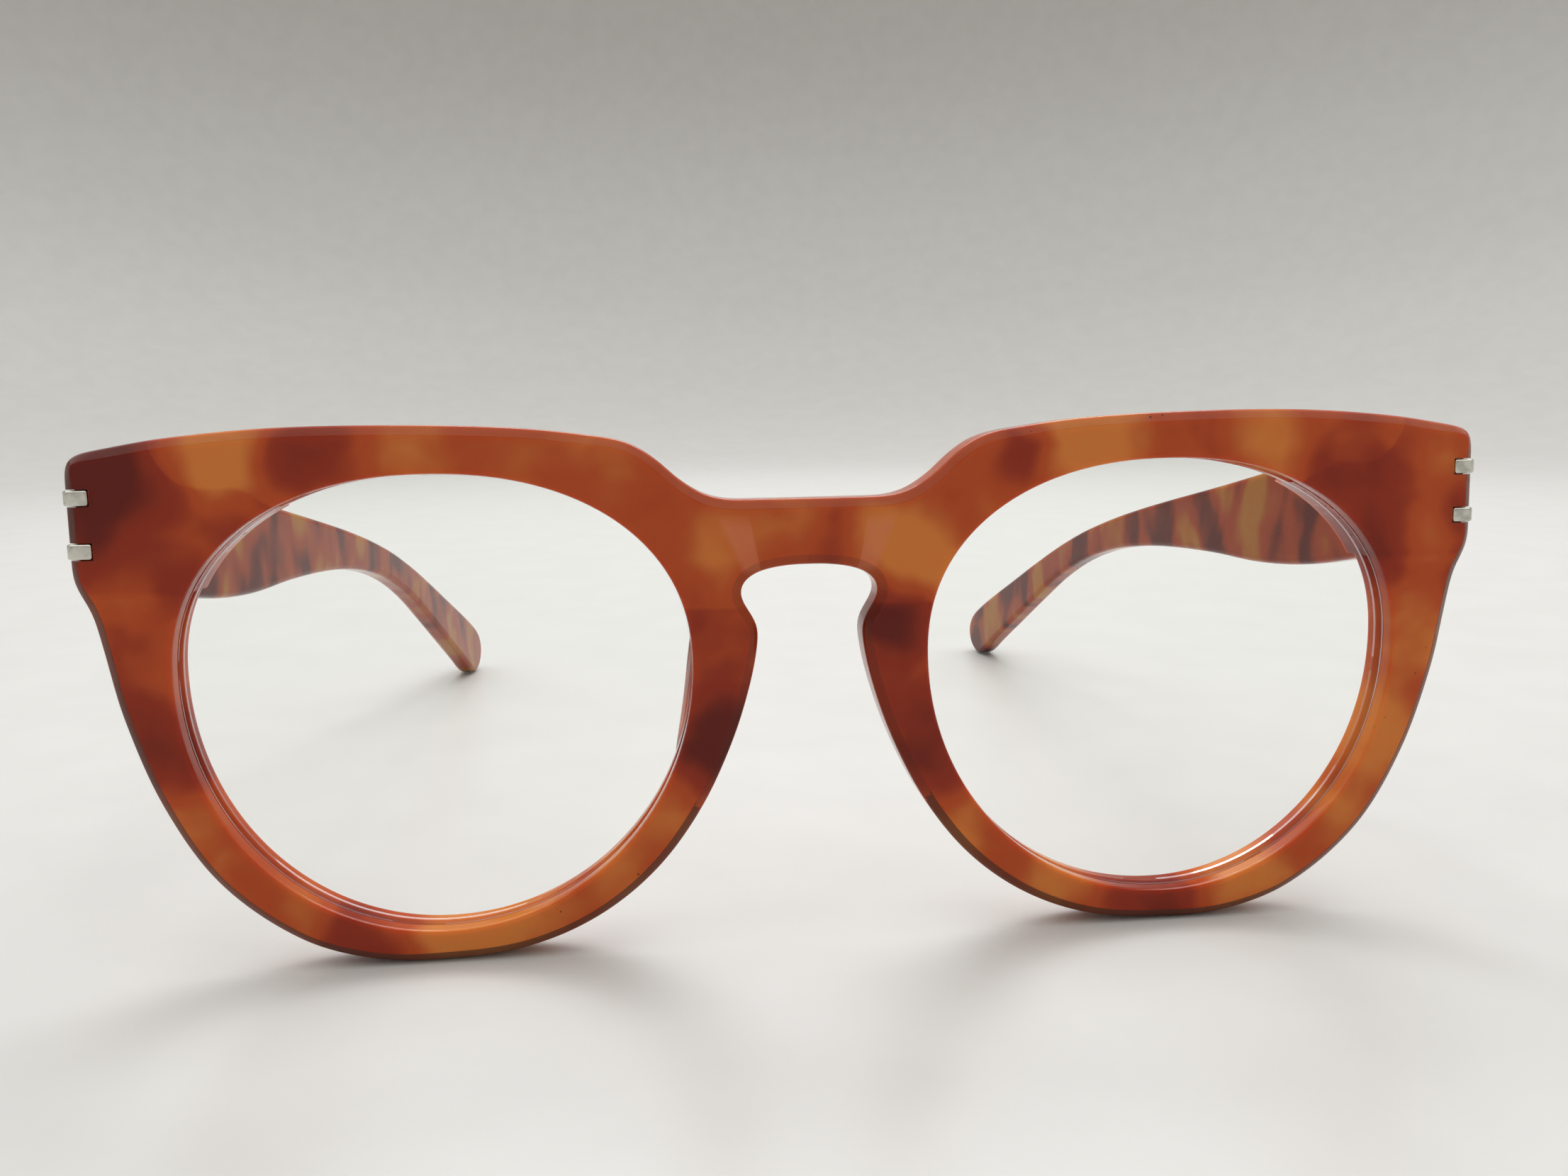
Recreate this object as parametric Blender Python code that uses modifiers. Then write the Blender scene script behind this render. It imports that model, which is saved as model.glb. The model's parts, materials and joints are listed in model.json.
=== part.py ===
"""A keyhole-bridge plastic spectacle frame, open, standing on its rims and temple tips.

+X is to the right of someone who faces the wearer, -Y is out of the front and +Z is up. The origin is
on the table, under the middle of the whole object. Lengths below are in millimetres and become metres
through MM. "Front plane" coordinates are x, the height along the leaning front, and the depth behind it.
"""
import math

import bmesh
import bpy
from mathutils import Matrix, Vector

MM = 0.001
CORNER = "corner"

# ---- Overall ----
OVERALL_LENGTH = 143.0      # rim bottoms to temple tips, along Y
HALF_WIDTH = 71.0           # middle to the side face of an end piece
RIM_DEPTH = 5.0             # thickness of the rims and the bridge
FRONT_LEAN = 2.5            # degrees that the top of the front leans towards the wearer
OUTLINE_STEP = 2.2          # length of one straight stretch of a curved outline
EDGE_CHAMFER = 0.6          # chamfer around the outside of the front
CLEARANCE = 0.06            # between a glued or set-in piece and its seat
POCKET_MOUTH = 0.8          # how far a cutter stands out of the face that it opens

# ---- Lens opening: four quarters of a superellipse ----
OPENING_CENTRE = (37.7, 29.8)
OPENING_NASAL = 25.6
OPENING_TEMPORAL = 24.65
OPENING_UP = 19.35
OPENING_DOWN = 26.6
UPPER_EXPONENT = 2.2
LOWER_EXPONENT = 2.03
OPENING_POINTS = 64
GROOVE_DEPTH = 0.8
GROOVE_HALF_WIDTH = 0.9
GROOVE_AT = 2.5             # depth of the groove's middle behind the front face
LENS_HALF_THICKNESS = 0.9
LENS_BEVEL = 0.5            # how far the lens edge reaches into the groove
LENS_BEVEL_HALF_WIDTH = 0.65
LENS_PLAY = 0.1             # how far the lens edge stays inside the opening before its bevel

# ---- End pieces ----
PAD_DEPTH = 6.2             # depth of the raised pad that carries the hinge leaf
MITRE_WALL_X = 66.35        # the end piece is full depth outside this
MITRE_Y = 9.7               # mitre plane behind the rim bottoms
BLANK_DEPTH = 8.6           # the blank that the front is cut from

# ---- Trim bars ----
BAR_HEIGHTS = {"upper": 47.6, "lower": 42.5}
BAR_TALL = 1.5
BAR_THICK = 0.9
BAR_INNER_X = 68.7
BAR_OUTER_X = 71.15
BAR_CORNER = 0.6            # chamfer where a bar turns round the end piece
BAR_PROUD = 0.15
BAR_BACK_DEPTH = 7.0

# ---- Hinges ----
HINGE_X = 64.3
HINGE_BOTTOM_Z = 41.0
KNUCKLE_RADIUS = 1.3
KNUCKLE_TALL = 1.32
KNUCKLE_GAP = 0.1
KNUCKLES = 5                # 1, 3 and 5 belong to the front leaf, 2 and 4 to the temple leaf
BORE_RADIUS = 0.75
SCREW_RADIUS = 0.65
SCREW_HEAD_RADIUS = 1.15
SCREW_HEAD_TALL = 0.6
LEAF_THICK = 1.0
FRONT_LEAF_X = (59.6, 66.0)
FRONT_LEAF_Y = 7.3          # front side of the plate, behind the rim bottoms
FRONT_PIN_X = 61.1
TEMPLE_LEAF_Y = (0.6, 7.8)
TEMPLE_PIN_Y = 5.0
PIN_HEIGHTS = {"upper": 46.4, "lower": 42.6}
PIN_RADIUS = 0.5
PIN_HEAD_RADIUS = 0.95
PIN_HEAD_TALL = 0.4
PIN_LENGTH = 2.9            # from under the head to the end of the shank
PIN_HOLE_SPARE = 0.2        # how much deeper a pin hole is than its pin
SCREW_SLOT_HALF_WIDTH = 0.16
SCREW_SLOT_DEPTH = 0.32

# ---- Temples ----
TOE_IN = 6.5                # degrees that an open temple leans inwards
TEMPLE_THICK = 3.4
TEMPLE_OFFSET = 3.0         # hinge axis to the inner face of the temple
TEMPLE_SINK = 0.5           # how far the leaf is let into the inner face
TEMPLE_CHAMFER = 0.7
MITRE_GAP = 0.12

HINGE_TALL = KNUCKLES * KNUCKLE_TALL + (KNUCKLES - 1) * KNUCKLE_GAP
FRONT_Y = -OVERALL_LENGTH / 2
REST_LIFT = RIM_DEPTH * math.sin(math.radians(FRONT_LEAN))

# Right half of the front's outline, from the middle of the bridge top clockwise to the keyhole top.
FRONT_OUTLINE = [
    (-2.5, 45.9, CORNER), (8.0, 45.95, CORNER), (10.3, 46.5), (12.9, 48.1), (15.2, 50.2), (18.0, 51.9),
    (22.0, 52.7), (29.0, 53.5), (40.0, 53.95), (52.0, 53.9), (62.0, 53.1), (69.0, 51.95, CORNER),
    (70.5, 51.5), (HALF_WIDTH, 50.6, CORNER), (HALF_WIDTH, 39.9, CORNER), (70.55, 38.6), (69.5, 36.5),
    (68.8, 33.4), (67.3, 26.0), (64.2, 17.0), (59.4, 9.0), (52.0, 2.9), (44.8, 0.4), (37.4, 0.0),
    (29.5, 0.8), (22.5, 3.5), (16.5, 8.0), (11.8, 14.0), (8.3, 21.0), (6.15, 27.5), (5.3, 32.3),
    (5.6, 33.7), (6.55, 35.1), (7.1, 36.4), (6.7, 37.6), (5.2, 38.6), (2.5, 39.15), (0.0, 39.25),
    (-2.5, 39.15, CORNER),
]

# Where the back of the front is cut down to the rim depth: all but the hinge pad and the end piece.
MILLED_OUTLINE = [
    (-5.0, -5.0), (80.0, -5.0), (80.0, 38.2), (55.5, 38.2), (50.5, 45.2), (52.8, 46.9), (55.0, 48.1),
    (59.7, 48.5), (62.0, 50.3), (64.8, 60.0), (-5.0, 60.0),
]

# Side view of a temple as (distance behind the rim bottoms, height), from the mitre round the tip and back.
TEMPLE_OUTLINE = [
    (2.0, 52.9, CORNER), (10.0, 51.3), (25.0, 47.8), (46.0, 42.7), (60.0, 39.5), (70.0, 37.1), (80.0, 34.4),
    (90.0, 31.2), (100.0, 27.3), (110.0, 22.9), (120.0, 18.3), (130.0, 13.7), (137.5, 10.0), (141.5, 7.4),
    (143.0, 4.5), (142.2, 2.0), (140.2, 0.5), (137.8, 0.0), (135.5, 0.8), (130.0, 4.2), (120.0, 10.1),
    (110.0, 16.0), (100.0, 21.7), (90.0, 26.2), (80.0, 29.3), (70.0, 31.2), (60.0, 32.3), (48.0, 32.9),
    (37.0, 33.0), (27.0, 34.0), (18.0, 35.9), (10.0, 38.2), (2.0, 41.2, CORNER),
]

# Nose pad sections: height, middle x, half width, depth behind the rim.
PAD_SECTIONS = [
    (35.2, 8.9, 1.8, 2.6), (33.4, 9.0, 2.5, 4.2), (29.5, 9.2, 2.8, 5.0), (25.0, 9.9, 2.6, 4.8),
    (20.5, 11.3, 2.2, 3.6), (16.5, 12.9, 1.5, 1.6),
]
PAD_SECTION_POINTS = 9
PAD_FLARE = 0.3             # sideways shift of a pad for each unit of depth

COLOURS = {
    "tortoise": ((0.42, 0.13, 0.035), 0.16, 0.0),
    "pad": ((0.36, 0.11, 0.035), 0.2, 0.0),
    "lens": ((0.93, 0.95, 0.94), 0.03, 0.0),
    "trim": ((0.72, 0.71, 0.67), 0.25, 1.0),
    "hinge": ((0.62, 0.61, 0.58), 0.32, 1.0),
    "screw": ((0.5, 0.5, 0.5), 0.3, 1.0),
}


def clear_scene():
    for old in list(bpy.data.objects):
        bpy.data.objects.remove(old, do_unlink=True)


def new_collection(name):
    collection = bpy.data.collections.new(name)
    bpy.context.scene.collection.children.link(collection)
    return collection


def add_object(name, mesh, collection):
    piece = bpy.data.objects.new(name, mesh)
    collection.objects.link(piece)
    return piece


def principled(name, look):
    colour, roughness, metallic = COLOURS[look]
    material = bpy.data.materials.new(name)
    material.use_nodes = True
    shader = material.node_tree.nodes["Principled BSDF"]
    shader.inputs["Base Color"].default_value = (*colour, 1.0)
    shader.inputs["Roughness"].default_value = roughness
    shader.inputs["Metallic"].default_value = metallic
    return material


# ---- Outlines ----

def handle(points, index, towards):
    """Bezier handle of one outline point, a third of the way to its neighbour on that side."""
    here = Vector(points[index][:2])
    neighbour = Vector(points[(index + towards) % len(points)][:2])
    reach = (neighbour - here).length / 3
    if CORNER in points[index]:
        return here + (neighbour - here).normalized() * reach
    before = Vector(points[index - 1][:2])
    after = Vector(points[(index + 1) % len(points)][:2])
    return here + (after - before).normalized() * reach * towards


def smooth_loop(points, step):
    """Closed outline through points: smooth through plain ones, straight into corners."""
    outline = []
    for index, point in enumerate(points):
        following = (index + 1) % len(points)
        start = Vector(point[:2])
        end = Vector(points[following][:2])
        first = handle(points, index, 1)
        second = handle(points, following, -1)
        straight = CORNER in point and CORNER in points[following]
        pieces = 1 if straight else max(1, round((end - start).length / step))
        for piece in range(pieces):
            t = piece / pieces
            s = 1 - t
            outline.append(start * s ** 3 + first * 3 * s * s * t + second * 3 * s * t * t + end * t ** 3)
    return outline


def signed_power(value, exponent):
    return math.copysign(abs(value) ** exponent, value)


def opening_loop():
    """Outline of the right lens opening on the front face."""
    outline = []
    for index in range(OPENING_POINTS):
        angle = 2 * math.pi * index / OPENING_POINTS
        across = math.cos(angle)
        up = math.sin(angle)
        exponent = 2 / (UPPER_EXPONENT if up > 0 else LOWER_EXPONENT)
        half_x = OPENING_TEMPORAL if across > 0 else OPENING_NASAL
        half_up = OPENING_UP if up > 0 else OPENING_DOWN
        x = OPENING_CENTRE[0] + half_x * signed_power(across, exponent)
        height = OPENING_CENTRE[1] + half_up * signed_power(up, exponent)
        outline.append(Vector((x, height)))
    return outline


def offset_loop(outline, distance):
    """A convex anticlockwise outline moved outwards."""
    moved = []
    for index, point in enumerate(outline):
        along = outline[(index + 1) % len(outline)] - outline[index - 1]
        outwards = Vector((along.y, -along.x)).normalized()
        moved.append(point + outwards * distance)
    return moved


# ---- Solids ----

def mesh_from(piece):
    """The evaluated mesh of an object, in its own coordinates."""
    evaluated = piece.evaluated_get(bpy.context.evaluated_depsgraph_get())
    return bpy.data.meshes.new_from_object(evaluated)


def plate(name, outlines, thickness, collection, chamfer=0.0):
    """A flat plate cut to outlines in XY, from z = 0 down to -thickness, with chamfered edges."""
    curve = bpy.data.curves.new(name, "CURVE")
    curve.dimensions = "2D"
    curve.fill_mode = "BOTH"
    curve.extrude = (thickness / 2 - chamfer) * MM
    curve.bevel_depth = chamfer * MM
    curve.bevel_resolution = 0
    curve.offset = -chamfer * MM
    for outline in outlines:
        spline = curve.splines.new("POLY")
        spline.points.add(len(outline) - 1)
        for control, point in zip(spline.points, outline):
            control.co = (point[0] * MM, point[1] * MM, 0.0, 1.0)
        spline.use_cyclic_u = True
    guide = bpy.data.objects.new(name + "_curve", curve)
    bpy.context.scene.collection.objects.link(guide)
    mesh = mesh_from(guide)
    bpy.data.objects.remove(guide)
    shape = bmesh.new()
    shape.from_mesh(mesh)
    bmesh.ops.remove_doubles(shape, verts=shape.verts, dist=1e-7)
    bmesh.ops.translate(shape, verts=shape.verts, vec=(0.0, 0.0, -thickness / 2 * MM))
    bmesh.ops.recalc_face_normals(shape, faces=shape.faces)
    shape.to_mesh(mesh)
    shape.free()
    return add_object(name, mesh, collection)


def box(name, low, high, collection):
    shape = bmesh.new()
    size = Vector(high) - Vector(low)
    middle = (Vector(high) + Vector(low)) / 2
    place = Matrix.Translation(middle * MM) @ Matrix.Diagonal((*(size * MM), 1.0))
    bmesh.ops.create_cube(shape, size=1.0, matrix=place)
    mesh = bpy.data.meshes.new(name)
    shape.to_mesh(mesh)
    shape.free()
    return add_object(name, mesh, collection)


def rod(name, radius, start, end, collection, sides=20):
    """A round rod between two points."""
    start = Vector(start) * MM
    end = Vector(end) * MM
    turn = (end - start).to_track_quat("Z", "Y").to_matrix().to_4x4()
    place = Matrix.Translation((start + end) / 2) @ turn
    shape = bmesh.new()
    bmesh.ops.create_cone(shape, cap_ends=True, segments=sides, radius1=radius * MM, radius2=radius * MM,
                          depth=(end - start).length, matrix=place)
    mesh = bpy.data.meshes.new(name)
    shape.to_mesh(mesh)
    shape.free()
    return add_object(name, mesh, collection)


def loft(name, rings, collection):
    """A solid skinned over closed rings of equal length, with flat ends."""
    shape = bmesh.new()
    loops = [[shape.verts.new(Vector(point) * MM) for point in ring] for ring in rings]
    for lower, upper in zip(loops, loops[1:]):
        for index in range(len(lower)):
            after = (index + 1) % len(lower)
            shape.faces.new((lower[index], lower[after], upper[after], upper[index]))
    shape.faces.new(reversed(loops[0]))
    shape.faces.new(loops[-1])
    bmesh.ops.recalc_face_normals(shape, faces=shape.faces)
    mesh = bpy.data.meshes.new(name)
    shape.to_mesh(mesh)
    shape.free()
    return add_object(name, mesh, collection)


def turned(name, profile, collection, sides=14):
    """A round solid about Z from a profile of (radius, height), top to bottom."""
    mesh = bpy.data.meshes.new(name)
    mesh.from_pydata([(radius * MM, 0.0, height * MM) for radius, height in profile],
                     [(index, index + 1) for index in range(len(profile) - 1)], [])
    piece = add_object(name, mesh, collection)
    screw = piece.modifiers.new("turn", "SCREW")
    screw.steps = sides
    screw.render_steps = sides
    screw.use_merge_vertices = True
    screw.merge_threshold = 1e-6
    settle(piece)
    return piece


def settle(piece):
    """Replace a piece's mesh by what its modifiers make of it."""
    mesh = mesh_from(piece)
    piece.modifiers.clear()
    piece.data = mesh


def combine(target, operation, cutters):
    """Boolean a target with cutters that share its coordinates, and drop the cutters."""
    for tool in cutters:
        modifier = target.modifiers.new(tool.name, "BOOLEAN")
        modifier.operation = operation
        modifier.object = tool
        modifier.solver = "EXACT"
    settle(target)
    for tool in cutters:
        bpy.data.objects.remove(tool)


def cut_off(piece, point, outwards):
    """Remove what lies beyond a plane and close the cut."""
    shape = bmesh.new()
    shape.from_mesh(piece.data)
    geometry = shape.verts[:] + shape.edges[:] + shape.faces[:]
    result = bmesh.ops.bisect_plane(shape, geom=geometry, plane_co=Vector(point) * MM,
                                    plane_no=outwards, clear_outer=True)
    rim = [item for item in result["geom_cut"] if isinstance(item, bmesh.types.BMEdge)]
    bmesh.ops.contextual_create(shape, geom=rim)
    bmesh.ops.recalc_face_normals(shape, faces=shape.faces)
    shape.to_mesh(piece.data)
    shape.free()


def dress(piece, look, parent, smooth=True):
    """Give a finished piece its own material and hang it on its carrier."""
    piece.data.materials.clear()
    piece.data.materials.append(principled(piece.name, look))
    if smooth:
        piece.data.shade_smooth()
        piece.data.set_sharp_from_angle(angle=math.radians(32))
    piece.parent = parent


def mirrored_twin(piece, name, look, parent):
    """The left-hand copy of a right-hand piece."""
    flip = Matrix.Scale(-1, 4, (1, 0, 0))
    mesh = piece.data.copy()
    mesh.transform(flip)
    mesh.flip_normals()
    twin = add_object(name, mesh, parts)
    twin.matrix_basis = flip @ piece.matrix_basis @ flip
    dress(twin, look, parent)


def carrier(name, location, rotation):
    empty = bpy.data.objects.new(name, None)
    empty.location = Vector(location) * MM
    empty.rotation_euler = rotation
    parts.objects.link(empty)
    return empty


# ---- Front ----

def lens_rings(side, reach, half_width, half_thickness):
    """Rings of a lens-shaped solid with a V edge: side and reach are how far out its wall and edge stand."""
    edge = opening_loop()
    steps = [(-half_thickness, side), (-half_width, side), (0.0, reach), (half_width, side),
             (half_thickness, side)]
    rings = []
    for along, out in steps:
        depth = GROOVE_AT + along
        rings.append([(point.x, point.y, -depth) for point in offset_loop(edge, out)])
    return rings


def bar_outline(grow):
    """Plan of a trim bar as (x, depth): along the front face, round the corner and back."""
    front = -BAR_PROUD - grow
    behind = BAR_THICK - BAR_PROUD + grow
    outer = BAR_OUTER_X + grow
    inside = BAR_OUTER_X - BAR_THICK - grow
    back = BAR_BACK_DEPTH + grow
    return [
        (BAR_INNER_X - grow, front), (BAR_OUTER_X - BAR_CORNER, front), (outer, front + BAR_CORNER),
        (outer, back), (inside, back), (inside, behind), (BAR_INNER_X - grow, behind),
    ]


def bar(name, height, grow, collection):
    """A trim bar, or its slot when grown by the clearance."""
    piece = plate(name, [bar_outline(grow)], BAR_TALL + 2 * grow, collection)
    top = (height + BAR_TALL / 2 + grow) * MM
    to_front_plane = Matrix(((1, 0, 0, 0), (0, 0, 1, top), (0, -1, 0, 0), (0, 0, 0, 1)))
    piece.data.transform(to_front_plane)
    return piece


def front_leaf_box(name, grow, mouth, collection):
    """Plate of the front hinge leaf, or its pocket with an open mouth, in world axes behind the rims."""
    low = (FRONT_LEAF_X[0] - grow, FRONT_LEAF_Y - grow, HINGE_BOTTOM_Z - grow)
    high = (FRONT_LEAF_X[1] + grow, FRONT_LEAF_Y + LEAF_THICK + mouth, HINGE_BOTTOM_Z + HINGE_TALL + grow)
    return box(name, low, high, collection)


def make_frame_front(plane):
    """The one-piece front: a thick blank milled down behind, grooved for lenses and slotted for trim."""
    outline = smooth_loop(FRONT_OUTLINE, OUTLINE_STEP)
    piece = plate("frame_front", [outline, opening_loop()], BLANK_DEPTH, parts, EDGE_CHAMFER)
    to_plane = plane.matrix_basis.inverted()
    mitre = to_plane @ Vector((0.0, (FRONT_Y + MITRE_Y) * MM, 0.0)) / MM
    cut_off(piece, mitre, to_plane.to_3x3() @ Vector((0.0, 1.0, 0.0)))

    back_mill = plate("back_mill", [MILLED_OUTLINE], BLANK_DEPTH, tools)
    back_mill.data.transform(Matrix.Translation((0, 0, -RIM_DEPTH * MM)))
    seat_mill = box("seat_mill", (40.0, 30.0, -2 * BLANK_DEPTH), (MITRE_WALL_X, 60.0, -PAD_DEPTH), tools)
    groove_wall = -GROOVE_DEPTH * 0.5
    groove_root = GROOVE_HALF_WIDTH * 1.5
    groove = loft("groove", lens_rings(groove_wall, GROOVE_DEPTH, groove_root, groove_root + 0.2), tools)
    slots = [bar("slot_" + side, height, CLEARANCE, tools) for side, height in BAR_HEIGHTS.items()]
    pocket = front_leaf_box("front_leaf_pocket", CLEARANCE, POCKET_MOUTH, tools)
    holes = []
    for level, z in PIN_HEIGHTS.items():
        start = (FRONT_PIN_X, FRONT_LEAF_Y + LEAF_THICK, z)
        end = (FRONT_PIN_X, FRONT_LEAF_Y + LEAF_THICK - PIN_LENGTH - PIN_HOLE_SPARE, z)
        holes.append(rod("front_hole_" + level, PIN_RADIUS + CLEARANCE, start, end, tools, 12))
    for tool in [pocket] + holes:
        tool.data.transform(to_plane @ Matrix.Translation((0.0, FRONT_Y * MM, 0.0)))
    combine(piece, "DIFFERENCE", [back_mill, seat_mill, groove, *slots, pocket, *holes])

    mirror = piece.modifiers.new("left_half", "MIRROR")
    mirror.use_axis[0] = True
    mirror.use_bisect_axis[0] = True
    mirror.use_bisect_flip_axis[0] = False
    mirror.merge_threshold = 1e-5
    settle(piece)
    dress(piece, "tortoise", plane, smooth=False)


def make_lenses(plane):
    rings = lens_rings(-LENS_PLAY, LENS_BEVEL, LENS_BEVEL_HALF_WIDTH, LENS_HALF_THICKNESS)
    lens = loft("lens_right", rings, parts)
    dress(lens, "lens", plane)
    mirrored_twin(lens, "lens_left", "lens", plane)


def make_nose_pads(plane):
    rings = []
    for height, middle, half_width, depth in PAD_SECTIONS:
        ring = []
        for index in range(PAD_SECTION_POINTS):
            angle = math.pi * index / (PAD_SECTION_POINTS - 1)
            behind = depth * math.sin(angle) ** 0.8 if 0 < index < PAD_SECTION_POINTS - 1 else 0.0
            x = middle + half_width * math.cos(angle) + PAD_FLARE * behind
            ring.append((x, height, -(RIM_DEPTH + CLEARANCE + behind)))
        rings.append(ring)
    pad = loft("nose_pad_right", rings, parts)
    dress(pad, "pad", plane)
    mirrored_twin(pad, "nose_pad_left", "pad", plane)


def make_trim_bars(plane):
    for side, height in BAR_HEIGHTS.items():
        piece = bar("trim_bar_" + side + "_right", height, 0.0, parts)
        dress(piece, "trim", plane, smooth=False)
        mirrored_twin(piece, "trim_bar_" + side + "_left", "trim", plane)


# ---- Hinges: local z = 0 is the table and the axis is the local Z axis ----

def knuckle_heights(number):
    low = HINGE_BOTTOM_Z + number * (KNUCKLE_TALL + KNUCKLE_GAP)
    return low, low + KNUCKLE_TALL


def add_knuckles(leaf, numbers, web_low, web_high, group):
    """Barrels on the hinge axis, each with a web to its leaf, bored for the screw."""
    for number in numbers:
        low, high = knuckle_heights(number)
        barrel = rod(group + "_barrel_" + str(number), KNUCKLE_RADIUS, (0, 0, low), (0, 0, high), tools, 24)
        web = box(group + "_web_" + str(number), (*web_low, low), (*web_high, high), tools)
        combine(leaf, "UNION", [web, barrel])
    bore = rod(group + "_bore", BORE_RADIUS, (0, 0, HINGE_BOTTOM_Z - 1),
               (0, 0, HINGE_BOTTOM_Z + HINGE_TALL + 1), tools, 24)
    combine(leaf, "DIFFERENCE", [bore])


def pin_profile():
    """Domed rivet, head up: the underside of the head is at height 0."""
    return [(0.0, PIN_HEAD_TALL), (PIN_HEAD_RADIUS * 0.6, PIN_HEAD_TALL * 0.85),
            (PIN_HEAD_RADIUS, CLEARANCE / 2), (PIN_RADIUS, CLEARANCE / 2), (PIN_RADIUS, -PIN_LENGTH),
            (0.0, -PIN_LENGTH)]


def make_front_hinge(pivot_right, pivot_left):
    leaf = front_leaf_box("front_hinge_right", 0.0, 0.0, parts)
    leaf.data.transform(Matrix.Translation((-HINGE_X * MM, -MITRE_Y * MM, 0.0)))
    reach = FRONT_LEAF_Y + LEAF_THICK / 2 - MITRE_Y
    add_knuckles(leaf, (0, 2, 4), (-KNUCKLE_RADIUS, reach), (KNUCKLE_RADIUS * 0.8, 0.0), "front")
    for level, z in PIN_HEIGHTS.items():
        face = Vector((FRONT_PIN_X - HINGE_X, FRONT_LEAF_Y + LEAF_THICK - MITRE_Y, z))
        place = Matrix.Translation(face * MM)
        turn = Matrix.Rotation(math.radians(-90), 4, "X")
        hole = rod("front_leaf_hole_" + level, PIN_RADIUS + CLEARANCE, (0, 0, 1), (0, 0, -2), tools, 12)
        hole.data.transform(place @ turn)
        combine(leaf, "DIFFERENCE", [hole])
        pin = turned("front_pin_" + level + "_right", pin_profile(), parts)
        pin.matrix_basis = place @ turn
        dress(pin, "screw", pivot_right)
        mirrored_twin(pin, "front_pin_" + level + "_left", "screw", pivot_left)
    dress(leaf, "hinge", pivot_right)
    mirrored_twin(leaf, "front_hinge_left", "hinge", pivot_left)


def make_screws(pivot_right, pivot_left):
    under_head = HINGE_BOTTOM_Z + HINGE_TALL + CLEARANCE
    top = under_head + SCREW_HEAD_TALL
    bottom = HINGE_BOTTOM_Z - 0.2
    profile = [(0.0, top), (SCREW_HEAD_RADIUS * 0.8, top), (SCREW_HEAD_RADIUS, top - 0.2),
               (SCREW_HEAD_RADIUS, under_head), (SCREW_RADIUS, under_head), (SCREW_RADIUS, bottom + 0.2),
               (SCREW_RADIUS * 0.7, bottom), (0.0, bottom)]
    screw = turned("hinge_screw_right", profile, parts, 20)
    slot = box("screw_slot", (-SCREW_HEAD_RADIUS - 1, -SCREW_SLOT_HALF_WIDTH, top - SCREW_SLOT_DEPTH),
               (SCREW_HEAD_RADIUS + 1, SCREW_SLOT_HALF_WIDTH, top + 1), tools)
    combine(screw, "DIFFERENCE", [slot])
    dress(screw, "screw", pivot_right)
    mirrored_twin(screw, "hinge_screw_left", "screw", pivot_left)


# ---- Temples: local y runs along the temple from the hinge axis ----

def temple_leaf_box(name, grow, mouth, collection):
    low_x = TEMPLE_OFFSET + TEMPLE_SINK - LEAF_THICK
    low = (low_x - mouth, TEMPLE_LEAF_Y[0] - grow, HINGE_BOTTOM_Z - grow)
    high = (TEMPLE_OFFSET + TEMPLE_SINK + grow, TEMPLE_LEAF_Y[1] + grow, HINGE_BOTTOM_Z + HINGE_TALL + grow)
    return box(name, low, high, collection)


def make_temples(carrier_right, carrier_left):
    toe = math.radians(TOE_IN)
    middle = TEMPLE_OFFSET + TEMPLE_THICK / 2
    start = MITRE_Y + middle * math.sin(toe)
    side_view = [((point[0] - start) / math.cos(toe), *point[1:]) for point in TEMPLE_OUTLINE]
    outline = smooth_loop(side_view, OUTLINE_STEP * 2)
    temple = plate("temple_right", [outline], TEMPLE_THICK, parts, TEMPLE_CHAMFER)
    outer_face = (TEMPLE_OFFSET + TEMPLE_THICK) * MM
    stand_up = Matrix(((0, 0, 1, outer_face), (1, 0, 0, 0), (0, 1, 0, 0), (0, 0, 0, 1)))
    temple.data.transform(stand_up)
    mitre_normal = Vector((-math.sin(toe), -math.cos(toe), 0.0))
    cut_off(temple, mitre_normal * -MITRE_GAP, mitre_normal)

    pocket = temple_leaf_box("temple_leaf_pocket", CLEARANCE, POCKET_MOUTH, tools)
    leaf = temple_leaf_box("temple_hinge_right", 0.0, 0.0, parts)
    add_knuckles(leaf, (1, 3), (0.0, 0.05), (TEMPLE_OFFSET, KNUCKLE_RADIUS * 0.9), "temple")
    inner = TEMPLE_OFFSET + TEMPLE_SINK - LEAF_THICK
    combine(temple, "DIFFERENCE", [pocket])
    for level, z in PIN_HEIGHTS.items():
        place = Matrix.Translation(Vector((inner, TEMPLE_PIN_Y, z)) * MM)
        turn = Matrix.Rotation(math.radians(-90), 4, "Y")
        for drilled in (temple, leaf):
            hole = rod("temple_hole_" + level, PIN_RADIUS + CLEARANCE, (0, 0, 1),
                       (0, 0, -PIN_LENGTH - PIN_HOLE_SPARE), tools, 12)
            hole.data.transform(place @ turn)
            combine(drilled, "DIFFERENCE", [hole])
        pin = turned("temple_pin_" + level + "_right", pin_profile(), parts)
        pin.matrix_basis = place @ turn
        dress(pin, "screw", carrier_right)
        mirrored_twin(pin, "temple_pin_" + level + "_left", "screw", carrier_left)
    dress(temple, "tortoise", carrier_right, smooth=False)
    dress(leaf, "hinge", carrier_right)
    mirrored_twin(temple, "temple_left", "tortoise", carrier_left)
    mirrored_twin(leaf, "temple_hinge_left", "hinge", carrier_left)


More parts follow.
